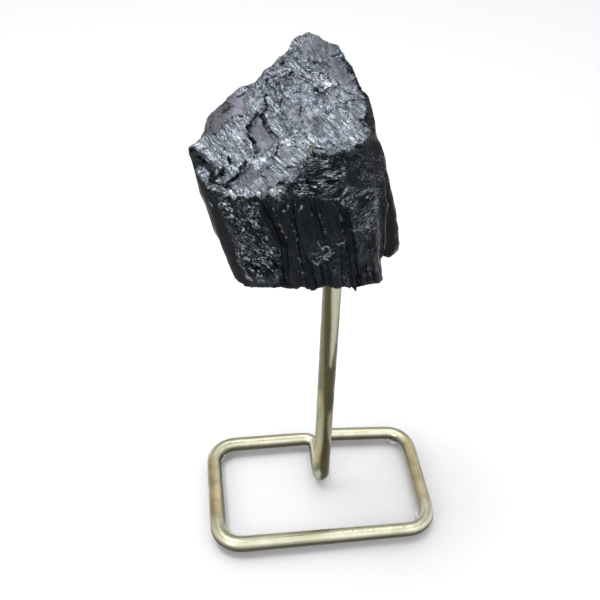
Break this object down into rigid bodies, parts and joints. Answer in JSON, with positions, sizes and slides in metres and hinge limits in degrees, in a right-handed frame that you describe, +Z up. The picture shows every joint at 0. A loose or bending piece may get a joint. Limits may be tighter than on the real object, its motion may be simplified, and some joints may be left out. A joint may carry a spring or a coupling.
{
  "type": "raw black tourmaline specimen on a wire stand",
  "caption": "Raw striated black tourmaline chunk with a slanting broken top, held on the upright post of a bent brass wire stand with a rounded rectangular base.",
  "frame": {"origin": "on the table, under the middle of the whole object's box", "axes": "+Z up along the post, +X to the right along the base's long side, +Y to the back"},
  "size_m": [0.0634, 0.042, 0.1348],
  "materials": {
    "black_tourmaline": "semi-gloss black, striated flanks, grey glinting fibrous fracture",
    "satin_brass": "satin, pale gold with an olive cast",
    "clear_silicone": "clear, soft"
  },
  "bodies": {
    "root": {"tourmaline": "black_tourmaline", "wire_stand": "satin_brass", "foot_front_left": "clear_silicone", "foot_front_right": "clear_silicone", "foot_back_left": "clear_silicone", "foot_back_right": "clear_silicone"}
  },
  "joints": []
}
